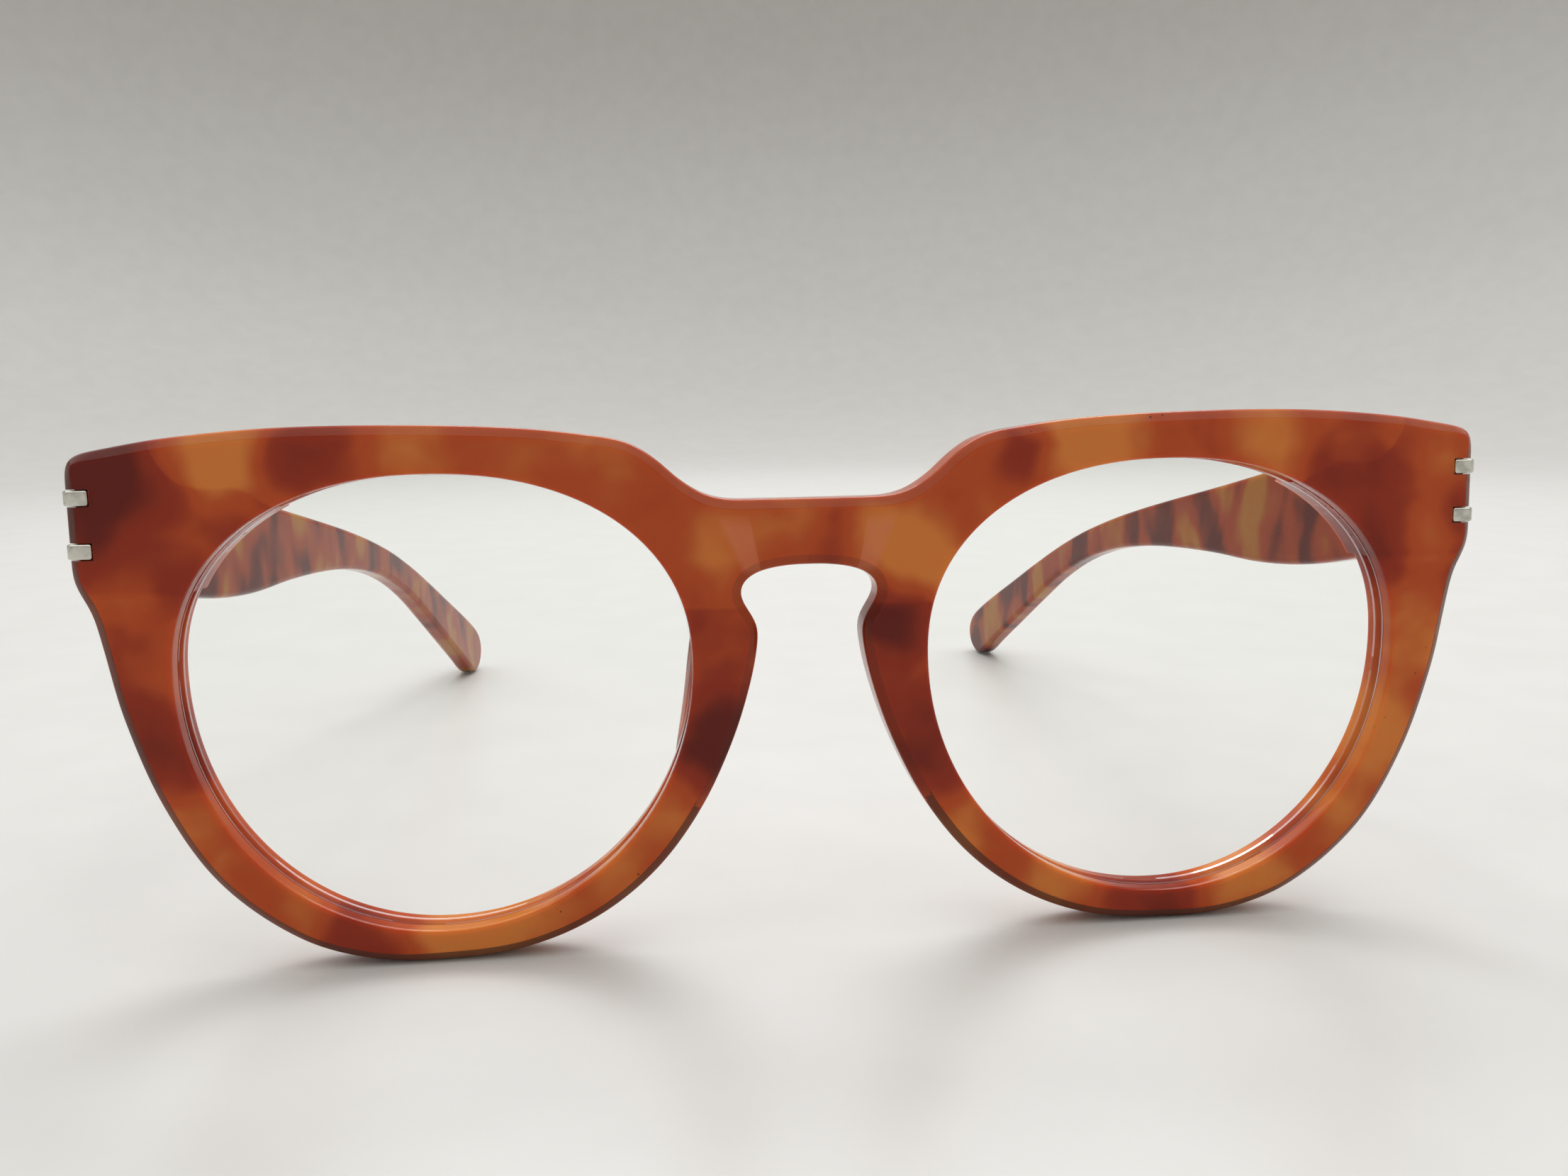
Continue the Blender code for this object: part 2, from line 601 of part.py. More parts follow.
def main():
    plane = carrier("front_plane", (0.0, FRONT_Y, REST_LIFT), (math.radians(90 - FRONT_LEAN), 0.0, 0.0))
    bpy.context.view_layer.update()
    hinges = {}
    temples = {}
    for side, sign in (("right", 1), ("left", -1)):
        axis = (sign * HINGE_X, FRONT_Y + MITRE_Y, 0.0)
        hinges[side] = carrier("hinge_axis_" + side, axis, (0.0, 0.0, 0.0))
        temples[side] = carrier("temple_pivot_" + side, axis, (0.0, 0.0, sign * math.radians(TOE_IN)))
    make_frame_front(plane)
    make_lenses(plane)
    make_nose_pads(plane)
    make_trim_bars(plane)
    make_front_hinge(hinges["right"], hinges["left"])
    make_screws(hinges["right"], hinges["left"])
    make_temples(temples["right"], temples["left"])


clear_scene()
parts = new_collection("glasses")
tools = new_collection("cutters")
main()
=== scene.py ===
import json
import math

import bmesh
import bpy
import numpy as np
from mathutils import Matrix, Vector
from mathutils.geometry import tessellate_polygon


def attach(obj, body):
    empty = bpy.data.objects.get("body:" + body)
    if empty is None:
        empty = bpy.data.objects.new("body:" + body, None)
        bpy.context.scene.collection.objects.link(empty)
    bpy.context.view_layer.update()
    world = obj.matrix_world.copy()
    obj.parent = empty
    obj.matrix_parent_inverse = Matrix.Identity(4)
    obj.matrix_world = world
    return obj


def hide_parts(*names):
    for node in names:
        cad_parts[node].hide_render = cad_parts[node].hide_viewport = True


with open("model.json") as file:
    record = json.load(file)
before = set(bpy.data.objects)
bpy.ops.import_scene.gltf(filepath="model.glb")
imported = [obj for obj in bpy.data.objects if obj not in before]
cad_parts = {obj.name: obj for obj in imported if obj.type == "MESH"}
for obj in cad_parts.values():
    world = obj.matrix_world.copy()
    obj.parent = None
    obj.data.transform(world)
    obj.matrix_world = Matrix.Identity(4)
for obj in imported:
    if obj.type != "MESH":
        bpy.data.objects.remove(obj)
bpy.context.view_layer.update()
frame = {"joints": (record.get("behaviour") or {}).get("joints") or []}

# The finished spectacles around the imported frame. Lengths are in millimetres and become metres through MM.
# "Front plane" coordinates are x, the height along the leaning front, and the depth behind its face.
MM = 0.001
CORNER = "corner"
JOINTS = {joint["child"]: joint for joint in frame["joints"]}

# ---- Dimensions shared with the CAD model ----
FRONT_LEAN = 2.5
RIM_DEPTH = 5.0
PAD_DEPTH = 6.2
MITRE_WALL_X = 66.35
MITRE_Y = 9.7
BLANK_DEPTH = 8.6
HINGE_X = JOINTS["temple_right"]["pos_m"][0] / MM
FRONT_Y = JOINTS["temple_right"]["pos_m"][1] / MM - MITRE_Y
REST_LIFT = RIM_DEPTH * math.sin(math.radians(FRONT_LEAN))
TOE_IN = 6.5
TEMPLE_THICK = 3.4
TEMPLE_OFFSET = 3.0
TEMPLE_SINK = 0.5
MITRE_GAP = 0.12
OPENING_CENTRE = (37.7, 29.8)
OPENING_REACH = {"nasal": 25.6, "temporal": 24.65, "up": 19.35, "down": 26.6}
OPENING_EXPONENTS = {"upper": 2.2, "lower": 2.03}
GROOVE_AT = 2.5
BAR_HEIGHTS = {"upper": 47.6, "lower": 42.5}
BAR_TALL = 1.5
BAR_THICK = 0.9
BAR_INNER_X = 68.7
BAR_OUTER_X = 71.15
BAR_CORNER = 0.6
BAR_PROUD = 0.15
BAR_BACK_DEPTH = 7.0
SLOT_GAP = 0.09
HINGE_BOTTOM_Z = 41.0
KNUCKLE_RADIUS = 1.3
KNUCKLE_TALL = 1.32
KNUCKLE_GAP = 0.1
KNUCKLES = 5
BORE_RADIUS = 0.75
SCREW_RADIUS = 0.65
SCREW_HEAD_RADIUS = 1.15
SCREW_HEAD_TALL = 0.6
LEAF_THICK = 1.0
FRONT_LEAF_X = (59.6, 66.0)
FRONT_LEAF_Y = 7.3
FRONT_PIN_X = 61.1
TEMPLE_LEAF_Y = (0.6, 7.8)
TEMPLE_PIN_Y = 5.0
PIN_HEIGHTS = {"upper": 46.4, "lower": 42.6}
PIN_RADIUS = 0.5
PIN_HEAD_RADIUS = 0.95
PIN_HEAD_TALL = 0.4
PIN_LENGTH = 2.9
CLEARANCE = 0.06

HINGE_TALL = KNUCKLES * KNUCKLE_TALL + (KNUCKLES - 1) * KNUCKLE_GAP

FRONT_OUTLINE = [
    (-2.5, 45.9, CORNER), (8.0, 45.95, CORNER), (10.3, 46.5), (12.9, 48.1), (15.2, 50.2), (18.0, 51.9),
    (22.0, 52.7), (29.0, 53.5), (40.0, 53.95), (52.0, 53.9), (62.0, 53.1), (69.0, 51.95, CORNER),
    (70.5, 51.5), (71.0, 50.6, CORNER), (71.0, 39.9, CORNER), (70.55, 38.6), (69.5, 36.5),
    (68.8, 33.4), (67.3, 26.0), (64.2, 17.0), (59.4, 9.0), (52.0, 2.9), (44.8, 0.4), (37.4, 0.0),
    (29.5, 0.8), (22.5, 3.5), (16.5, 8.0), (11.8, 14.0), (8.3, 21.0), (6.15, 27.5), (5.3, 32.3),
    (5.6, 33.7), (6.55, 35.1), (7.1, 36.4), (6.7, 37.6), (5.2, 38.6), (2.5, 39.15), (0.0, 39.25),
    (-2.5, 39.15, CORNER),
]
# The end piece behind the rim. Its first edge is the lower one, its inner corner lies in the opening.
END_PIECE_OUTLINE = [
    (80.0, 38.2), (55.5, 38.2), (50.5, 45.2), (52.8, 46.9), (55.0, 48.1), (59.7, 48.5), (62.0, 50.3),
    (64.0, 57.0), (80.0, 57.0),
]
TEMPLE_OUTLINE = [
    (2.0, 52.9, CORNER), (10.0, 51.3), (25.0, 47.8), (46.0, 42.7), (60.0, 39.5), (70.0, 37.1), (80.0, 34.4),
    (90.0, 31.2), (100.0, 27.3), (110.0, 22.9), (120.0, 18.3), (130.0, 13.7), (137.5, 10.0), (141.5, 7.4),
    (143.0, 4.5), (142.2, 2.0), (140.2, 0.5), (137.8, 0.0), (135.5, 0.8), (130.0, 4.2), (120.0, 10.1),
    (110.0, 16.0), (100.0, 21.7), (90.0, 26.2), (80.0, 29.3), (70.0, 31.2), (60.0, 32.3), (48.0, 32.9),
    (37.0, 33.0), (27.0, 34.0), (18.0, 35.9), (10.0, 38.2), (2.0, 41.2, CORNER),
]
PAD_SECTIONS = [
    (35.2, 8.9, 1.8, 2.6), (33.4, 9.0, 2.5, 4.2), (29.5, 9.2, 2.8, 5.0), (25.0, 9.9, 2.6, 4.8),
    (20.5, 11.3, 2.2, 3.6), (16.5, 12.9, 1.5, 1.6),
]

# ---- Edge profiles: (distance in from the outline, depth) ----
OUTER_FRONT_EDGE = [(1.15, 0.0), (1.02, 0.015), (0.9, 0.07), (0.2, 0.6), (0.06, 0.76), (0.0, 0.98)]
OUTER_BACK_EDGE = [(0.0, 4.2), (0.06, 4.5), (0.22, 4.76), (0.46, 4.93), (0.75, 5.0)]
OPENING_EDGE = [
    (0.45, 0.0), (0.28, 0.03), (0.1, 0.13), (0.02, 0.28), (0.0, 0.5), (0.0, 1.7), (0.05, 1.8),
    (0.7, 2.4), (0.7, 2.6), (0.05, 3.2), (0.0, 3.3), (0.0, 4.5), (0.04, 4.75), (0.16, 4.91), (0.4, 5.0),
]
TEMPLE_EDGE = [(0.9, 0.0), (0.62, 0.05), (0.34, 0.18), (0.13, 0.42), (0.02, 0.74), (0.0, 1.0)]

# ---- Painted shade on the bevel round the front, darkest where it faces down or sideways: its width, and its strength by place ----
BAND_WIDTH = 1.1
BAND_DEPTH = 3.0
BAND_AT_SIDES = 0.9
BAND_AT_TOP = 0.25
BAND_AT_KEYHOLE = 0.3
KEYHOLE_REACH = 12.0
FLAT_FACE = 0.98            # a face turned to the front by more than this is no bevel

# ---- Darker parts of the front: (low, high) extents of what lies behind it ----
HINGE_PAD_X = (50.0, 66.0)
HINGE_PAD_HEIGHT = (40.0, 60.0)
NOSE_PAD_REACH = 20.0

# ---- Rounded edges on metal ----
BAR_ROUNDING = 0.22
LEAF_ROUNDING = 0.1
SCREW_ROUNDING = 0.05
PIN_ROUNDING = 0.02

# ---- Stage, light and camera: metres, but the camera's place is in millimetres from the front ----
STAGE_FLAT = 0.75
STAGE_CURVE = 0.5
STAGE_WALL = 0.1
STAGE_SIDES = 96
STAGE_CURVE_STEPS = 12
SKY_STRENGTH = 1.5
WINDOW_PLACE = (0.10, 0.46, 0.62)
WINDOW_TARGET = (0.0, 0.0, 0.02)
WINDOW_SIZE = (0.55, 0.3)
WINDOW_WATTS = 3.0
CAMERA_X = -15.6
CAMERA_BEFORE_FRONT = 123.94
CAMERA_HEIGHT = 56.9
CAMERA_PAN = -5.87
CAMERA_TILT = -8.99
CAMERA_ROLL = -0.9
CAMERA_LENS = 29.13

# ---- Colours ----
MAHOGANY = (0.125, 0.008, 0.003)
RED_BROWN = (0.275, 0.025, 0.006)
ORANGE = (0.44, 0.068, 0.011)
AMBER = (0.60, 0.195, 0.036)
PLUM = (0.10, 0.015, 0.008)
CHESTNUT = (0.29, 0.050, 0.012)
OLIVE_AMBER = (0.35, 0.14, 0.022)
# painted shade colour for the bevel round the front
BEVEL_SHADE_BROWN = (0.06, 0.022, 0.011)
# painted highlight colour for the wedges beside the keyhole
FACET_HIGHLIGHT_PINK = (0.62, 0.20, 0.10)
SPECK_BROWN = (0.03, 0.006, 0.003)
TRIM_METAL = (0.58, 0.56, 0.50)
HINGE_METAL = (0.72, 0.71, 0.68)
SCREW_METAL = (0.62, 0.62, 0.62)
STAGE_PAINT = (0.59, 0.585, 0.57)
STAGE_DUST = (0.61, 0.605, 0.59)
SKY_STOPS = [(0.0, (0.10, 0.085, 0.07)), (0.35, (0.2, 0.18, 0.155)), (0.8, (1.0, 1.0, 0.98))]
WINDOW_WHITE = (0.96, 0.98, 1.0)

# Clouds in the plastic of the front: (x, height, reach, lift of the tone towards amber).
FRONT_CLOUDS = [
    (-68, 50, 9, -0.5), (-66, 43, 5, -0.05), (-66, 39, 4, 0.2), (-61, 47, 4, -0.1), (-57, 51, 6, 0.5),
    (-51, 50, 4, -0.1), (-61, 39, 4, -0.2), (-47, 51, 5, -0.3), (-39, 52, 6, 0.25), (-29, 51, 6, 0.15),
    (-20, 50, 5, 0.15), (-14, 46, 5, -0.05), (-10, 42, 5, 0.25), (-3, 43, 5, 0.2), (3, 42, 4, -0.1),
    (-63, 43, 5, 0.1), (-65, 34, 5, -0.05), (-64, 23, 7, -0.3), (-62, 17, 4, 0.2), (-58, 10, 5, 0.1),
    (-51, 6, 5, 0.2),
    (-45, 2, 6, -0.3), (-37, 2, 7, 0.45), (-29, 4, 5, 0.3), (-20, 8, 5, 0.25), (-13, 15, 5, 0.25),
    (-9, 21, 7, -0.65), (-8, 33, 5, 0.1), (9, 42, 5, 0.4), (13, 39, 5, 0.35), (20, 48, 5, 0.1),
    (22, 50, 4, -0.35), (29, 51, 7, 0.5), (36, 52, 5, 0.0), (42, 51, 4, -0.1), (48, 51, 5, 0.35),
    (54, 47, 4, -0.2), (60, 46, 6, -0.1), (66, 51, 6, 0.15), (66, 46, 5, 0.2), (69, 44, 4, -0.05),
    (66, 40, 4, 0.2), (69, 36, 4, -0.25), (61, 38, 5, -0.3), (63, 34, 4, 0.25), (66, 29, 5, 0.25),
    (61, 19, 7, 0.35),
    (56, 11, 4, 0.25), (54, 5, 5, 0.15), (46, 4, 6, 0.4), (38, 2, 6, -0.35), (33, 2, 5, -0.05),
    (26, 5, 5, 0.3), (16, 11, 6, 0.2), (11, 21, 7, -0.4), (9, 28, 4, 0.05), (8, 33, 5, -0.4),
]


# ================= Outlines =================

def handle(points, index, towards):
    """Bezier handle of one outline point, a third of the way to its neighbour on that side."""
    here = Vector(points[index][:2])
    neighbour = Vector(points[(index + towards) % len(points)][:2])
    reach = (neighbour - here).length / 3
    if CORNER in points[index]:
        return here + (neighbour - here).normalized() * reach
    before = Vector(points[index - 1][:2])
    after = Vector(points[(index + 1) % len(points)][:2])
    return here + (after - before).normalized() * reach * towards


def smooth_loop(points, step):
    """Closed outline through points, smooth through plain ones and straight into corners."""
    outline = []
    for index, point in enumerate(points):
        following = (index + 1) % len(points)
        start = Vector(point[:2])
        end = Vector(points[following][:2])
        first = handle(points, index, 1)
        second = handle(points, following, -1)
        pieces = max(1, round((end - start).length / step))
        for piece in range(pieces):
            t = piece / pieces
            s = 1 - t
            outline.append(start * s ** 3 + first * 3 * s * s * t + second * 3 * s * t * t + end * t ** 3)
    return np.array([tuple(point) for point in outline])


def relaxed(values, passes):
    """Closed run of points or numbers, evened out along its length."""
    for _ in range(passes):
        values = (np.roll(values, 1, 0) + 2 * values + np.roll(values, -1, 0)) / 4
    return values


def opening_loop(count):
    """Outline of the right lens opening: four quarters of a superellipse, anticlockwise."""
    outline = []
    for index in range(count):
        angle = 2 * math.pi * index / count
        across = math.cos(angle)
        up = math.sin(angle)
        power = 2 / OPENING_EXPONENTS["upper" if up > 0 else "lower"]
        reach_x = OPENING_REACH["temporal" if across > 0 else "nasal"]
        reach_up = OPENING_REACH["up" if up > 0 else "down"]
        outline.append((OPENING_CENTRE[0] + reach_x * math.copysign(abs(across) ** power, across),
                        OPENING_CENTRE[1] + reach_up * math.copysign(abs(up) ** power, up)))
    return np.array(outline)


def is_clockwise(loop):
    x, y = loop[:, 0], loop[:, 1]
    return np.sum(x * np.roll(y, -1) - y * np.roll(x, -1)) < 0


def left_normals(loop):
    """Unit normals on the left of the direction of travel."""
    along = np.roll(loop, -1, 0) - np.roll(loop, 1, 0)
    along /= np.linalg.norm(along, axis=1)[:, None]
    return np.stack([-along[:, 1], along[:, 0]], 1)


def inset(loop, distance):
    """A loop moved into the solid that it bounds from outside, held back at tight outside corners."""
    outwards = left_normals(loop) * (1 if is_clockwise(loop) else -1)
    spacing = np.linalg.norm(np.roll(loop, -2, 0) - np.roll(loop, 2, 0), axis=1)
    turning = np.linalg.norm(np.roll(outwards, -2, 0) - np.roll(outwards, 2, 0), axis=1) / spacing
    chord = (np.roll(loop, -3, 0) + np.roll(loop, 3, 0)) / 2 - loop
    convex = np.sum(chord * outwards, axis=1) < 0
    hold = relaxed(np.where(convex, 1 / (1 + turning * distance), 1.0), 6)
    return loop - outwards * (distance * hold)[:, None]


# ================= Meshes =================

def add_piece(name, mesh, material, body, place=Matrix()):
    piece = bpy.data.objects.new(name, mesh)
    bpy.context.scene.collection.objects.link(piece)
    piece.matrix_world = place
    mesh.materials.clear()
    mesh.materials.append(material)
    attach(piece, body)
    return piece


def mesh_of(shape, name):
    bmesh.ops.recalc_face_normals(shape, faces=shape.faces)
    mesh = bpy.data.meshes.new(name)
    shape.to_mesh(mesh)
    shape.free()
    return mesh


def add_ring(shape, loop, depth):
    return [shape.verts.new((x * MM, y * MM, -depth * MM)) for x, y in loop]


def skin(shape, rings):
    for upper, lower in zip(rings, rings[1:]):
        for index in range(len(upper)):
            after = (index + 1) % len(upper)
            shape.faces.new((upper[index], upper[after], lower[after], lower[index]))


def cap(shape, rings):
    """Flat face over an outer ring and any holes in it."""
    flat = [vertex for ring in rings for vertex in ring]
    loops = [[vertex.co.copy() for vertex in ring] for ring in rings]
    for triangle in tessellate_polygon(loops):
        corners = [flat[index] for index in triangle]
        if len(set(corners)) == 3:
            shape.faces.new(corners)


def edged_plate(name, outline, outer_profile, opening=None, opening_profile=()):
    """A plate with shaped edges: its outline and its opening each carry their own edge profile."""
    shape = bmesh.new()
    outer = [add_ring(shape, inset(outline, distance), depth) for distance, depth in outer_profile]
    skin(shape, outer)
    fronts = [outer[0]]
    backs = [outer[-1]]
    if opening is not None:
        away = -left_normals(opening)
        inner = [add_ring(shape, opening + away * distance, depth) for distance, depth in opening_profile]
        skin(shape, inner)
        fronts.append(inner[0])
        backs.append(inner[-1])
    cap(shape, fronts)
    cap(shape, backs)
    return mesh_of(shape, name)


def evaluated_mesh(piece):
    graph = bpy.context.evaluated_depsgraph_get()
    return bpy.data.meshes.new_from_object(piece.evaluated_get(graph))


def combined(mesh, steps):
    """A mesh after Booleans with other meshes in the same coordinates."""
    target = bpy.data.objects.new("target", mesh)
    bpy.context.scene.collection.objects.link(target)
    tools = []
    for operation, tool_mesh in steps:
        tool = bpy.data.objects.new("tool", tool_mesh)
        bpy.context.scene.collection.objects.link(tool)
        modifier = target.modifiers.new(operation, "BOOLEAN")
        modifier.operation = operation
        modifier.solver = "EXACT"
        modifier.object = tool
        tools.append(tool)
    result = evaluated_mesh(target)
    for spare in [target] + tools:
        bpy.data.objects.remove(spare)
    return result


def both_sides(mesh):
    """A right piece's mesh and its mirrored twin, each with its side's name and sign."""
    twin = mesh.copy()
    twin.transform(Matrix.Scale(-1, 4, (1, 0, 0)))
    twin.flip_normals()
    return [("right", 1, mesh), ("left", -1, twin)]


def polish(piece, angle=30):
    """Smooth shading that keeps flat faces flat."""
    piece.data.shade_smooth()
    piece.data.set_sharp_from_angle(angle=math.radians(angle))
    normals = piece.modifiers.new("flat_faces", "WEIGHTED_NORMAL")
    normals.keep_sharp = True
    normals.weight = 100


def break_edges(piece, width):
    """Small rounded edges on machined metal."""
    angle = 35
    bevel = piece.modifiers.new("broken_edges", "BEVEL")
    bevel.width = width * MM
    bevel.segments = 2
    bevel.limit_method = "ANGLE"
    bevel.angle_limit = math.radians(angle)
    bevel.harden_normals = False
    polish(piece, angle)


def box_mesh(low, high):
    shape = bmesh.new()
    size = Vector(high) - Vector(low)
    middle = (Vector(high) + Vector(low)) / 2
    place = Matrix.Translation(middle * MM) @ Matrix.Diagonal((*(size * MM), 1.0))
    bmesh.ops.create_cube(shape, size=1.0, matrix=place)
    return mesh_of(shape, "box")


def turned_mesh(profile, sides=48):
    """Round solid about Z from (radius, height) points that start and end on the axis."""
    shape = bmesh.new()
    top = shape.verts.new((0, 0, profile[0][1] * MM))
    bottom = shape.verts.new((0, 0, profile[-1][1] * MM))
    rings = []
    for radius, height in profile[1:-1]:
        turn = [2 * math.pi * step / sides for step in range(sides)]
        rings.append([shape.verts.new((radius * MM * math.cos(a), radius * MM * math.sin(a), height * MM))
                      for a in turn])
    skin(shape, rings)
    for index in range(sides):
        after = (index + 1) % sides
        shape.faces.new((top, rings[0][index], rings[0][after]))
        shape.faces.new((bottom, rings[-1][after], rings[-1][index]))
    return mesh_of(shape, "turned")


# ================= Materials =================

def new_material(name):
    material = bpy.data.materials.new(name)
    material.use_nodes = True
    tree = material.node_tree
    return material, tree, tree.nodes["Principled BSDF"]


def node(tree, kind, inputs=None, **settings):
    made = tree.nodes.new(kind)
    for key, value in settings.items():
        setattr(made, key, value)
    for key, value in (inputs or {}).items():
        if isinstance(value, bpy.types.NodeSocket):
            tree.links.new(value, made.inputs[key])
        else:
            made.inputs[key].default_value = value
    return made


def maths(tree, operation, first, second):
    return node(tree, "ShaderNodeMath", {0: first, 1: second}, operation=operation).outputs[0]


def remap(tree, value, low, high, to_low, to_high, kind="LINEAR"):
    """Map a value from one range to another, held at both ends."""
    inputs = {"Value": value, "From Min": low, "From Max": high, "To Min": to_low, "To Max": to_high}
    return node(tree, "ShaderNodeMapRange", inputs, interpolation_type=kind).outputs["Result"]


def noise(tree, vector, scale, detail=2.0):
    inputs = {"Vector": vector, "Scale": scale, "Detail": detail, "Roughness": 0.5}
    return node(tree, "ShaderNodeTexNoise", inputs)


def ramp(tree, factor, stops):
    made = tree.nodes.new("ShaderNodeValToRGB")
    made.color_ramp.interpolation = "EASE"
    while len(made.color_ramp.elements) < len(stops):
        made.color_ramp.elements.new(0.5)
    for element, (position, colour) in zip(made.color_ramp.elements, stops):
        element.position = position
        element.color = (*colour, 1.0)
    tree.links.new(factor, made.inputs["Fac"])
    return made.outputs["Color"]


def mixed(tree, factor, first, second):
    """Two colours mixed; the mix node's colour inputs are its inputs 6 and 7."""
    made = node(tree, "ShaderNodeMix", {0: factor}, data_type="RGBA", blend_type="MIX")
    for index, value in ((6, first), (7, second)):
        if isinstance(value, bpy.types.NodeSocket):
            tree.links.new(value, made.inputs[index])
        else:
            made.inputs[index].default_value = (*value, 1.0)
    return made.outputs[2]


def millimetres(tree):
    """Object coordinates in millimetres."""
    place = node(tree, "ShaderNodeTexCoord")
    mapped = node(tree, "ShaderNodeMapping", {"Vector": place.outputs["Object"], "Scale": (1 / MM,) * 3})
    return mapped.outputs["Vector"]


def warped(tree, vector, scale, reach):
    """Coordinates pushed about by soft noise."""
    push = noise(tree, vector, scale, 1.5)
    centred = node(tree, "ShaderNodeVectorMath", {0: push.outputs["Color"], 1: (0.5, 0.5, 0.5)},
                   operation="SUBTRACT")
    scaled = node(tree, "ShaderNodeVectorMath", {0: centred.outputs[0], "Scale": reach}, operation="SCALE")
    return node(tree, "ShaderNodeVectorMath", {0: vector, 1: scaled.outputs[0]}, operation="ADD").outputs[0]


def tortoise_colour(tree, tone):
    return ramp(tree, tone, [(0.02, MAHOGANY), (0.33, RED_BROWN), (0.56, ORANGE), (0.88, AMBER)])


def plastic_finish(tree, shader, vector, colour):
    """Polished scattering plastic: soft wipe marks, hairline scratches and a few dark specks."""
    dots = node(tree, "ShaderNodeTexVoronoi", {"Vector": vector, "Scale": 0.55})
    patches = noise(tree, vector, 0.09)
    size = remap(tree, patches.outputs["Fac"], 0.5, 0.7, 0.0, 0.11)
    speck = maths(tree, "LESS_THAN", dots.outputs["Distance"], size)
    flecked = mixed(tree, maths(tree, "MULTIPLY", speck, 0.75), colour, SPECK_BROWN)
    tree.links.new(flecked, shader.inputs["Base Color"])
    shader.inputs["IOR"].default_value = 1.49
    shader.inputs["Subsurface Weight"].default_value = 0.8
    shader.inputs["Subsurface Radius"].default_value = (1.0, 0.3, 0.1)
    shader.inputs["Subsurface Scale"].default_value = 1.6 * MM
    shader.inputs["Specular IOR Level"].default_value = 0.2
    smears = noise(tree, vector, 0.16, 4.0)
    scratch_space = node(tree, "ShaderNodeMapping", {"Vector": vector, "Rotation": (0.4, 0.3, 0.6),
                                                     "Scale": (0.12, 9.0, 9.0)})
    hairlines = noise(tree, scratch_space.outputs["Vector"], 1.0, 2.0)
    scratched = remap(tree, hairlines.outputs["Fac"], 0.7, 0.76, 0.0, 0.1)
    rough = maths(tree, "ADD", remap(tree, smears.outputs["Fac"], 0.3, 0.7, 0.05, 0.14), scratched)
    tree.links.new(rough, shader.inputs["Roughness"])
    ripple = noise(tree, vector, 0.13, 2.0)
    bump = node(tree, "ShaderNodeBump", {"Height": ripple.outputs["Fac"], "Strength": 0.12, "Distance": MM})
    tree.links.new(bump.outputs["Normal"], shader.inputs["Normal"])


def cloud_tone(tree, vector):
    """Tone of the front at a point: noise about the middle, raised and lowered by the placed clouds."""
    flat = node(tree, "ShaderNodeVectorMath", {0: warped(tree, vector, 0.13, 4.0), 1: (1.0, 1.0, 0.25)},
                operation="MULTIPLY").outputs[0]
    mottle = noise(tree, flat, 0.14, 2.0)
    tone = remap(tree, mottle.outputs["Fac"], 0.3, 0.7, 0.42, 0.62)
    for x, height, reach, lift in FRONT_CLOUDS:
        away = node(tree, "ShaderNodeVectorMath", {0: flat, 1: (x, height, 0.0)}, operation="DISTANCE")
        cloud = remap(tree, away.outputs["Value"], 0.0, reach * 1.35, lift, 0.0, "SMOOTHSTEP")
        tone = maths(tree, "ADD", tone, cloud)
    return tone


def backing_shade(tree, vector):
    """1 where a nose pad or a hinge pad darkens the front from behind, 0 elsewhere."""
    parts = node(tree, "ShaderNodeSeparateXYZ", {"Vector": vector})
    across = maths(tree, "ABSOLUTE", parts.outputs["X"], 0.0)
    height = parts.outputs["Y"]
    near, far = HINGE_PAD_X
    low, high = HINGE_PAD_HEIGHT
    edge = node(tree, "ShaderNodeFloatCurve", {"Value": remap(tree, across, near, far, 0.0, 1.0)})
    curve = edge.mapping.curves[0]
    corners = [(x, top) for x, top in END_PIECE_OUTLINE if near <= x <= far and top > low]
    for index, (x, top) in enumerate(corners):
        place = ((x - near) / (far - near), (top - low) / (high - low))
        if index < 2:
            curve.points[index].location = place
        else:
            curve.points.new(*place)
    edge.mapping.update()
    top = remap(tree, edge.outputs["Value"], 0.0, 1.0, low, high)
    under_top = remap(tree, maths(tree, "SUBTRACT", top, height), -0.2, 0.2, 0.0, 1.0)
    over_bottom = remap(tree, height, 37.8, 38.6, 0.0, 1.0)
    outside = remap(tree, across, 50.3, 50.7, 0.0, 1.0)
    hinge_pad = maths(tree, "MULTIPLY", maths(tree, "MULTIPLY", under_top, over_bottom), outside)
    nasal = maths(tree, "LESS_THAN", across, NOSE_PAD_REACH)
    nose_pad = maths(tree, "MULTIPLY", remap(tree, height, 22.0, 30.0, 0.0, 1.0),
                     remap(tree, height, 34.9, 35.3, 1.0, 0.0))
    return maths(tree, "MAXIMUM", hinge_pad, maths(tree, "MULTIPLY", nose_pad, nasal))


def bridge_facet_highlight(tree, vector):
    """1 on the two slanted wedges beside the keyhole, which get a painted highlight, 0 elsewhere."""
    parts = node(tree, "ShaderNodeSeparateXYZ", {"Vector": vector})
    across = maths(tree, "ABSOLUTE", parts.outputs["X"], 0.0)
    height = parts.outputs["Y"]
    steep = maths(tree, "SUBTRACT", across, maths(tree, "MULTIPLY", height, 0.2))
    slanted = maths(tree, "SUBTRACT", across, maths(tree, "MULTIPLY", height, 0.43))
    inner = remap(tree, steep, -2.9, -2.7, 0.0, 1.0)
    outer = remap(tree, slanted, -10.3, -9.6, 1.0, 0.0)
    upper = remap(tree, height, 43.0, 44.5, 1.0, 0.0)
    lower = remap(tree, height, 38.2, 39.0, 0.0, 1.0)
    between_sides = maths(tree, "MULTIPLY", inner, outer)
    return maths(tree, "MULTIPLY", between_sides, maths(tree, "MULTIPLY", upper, lower))


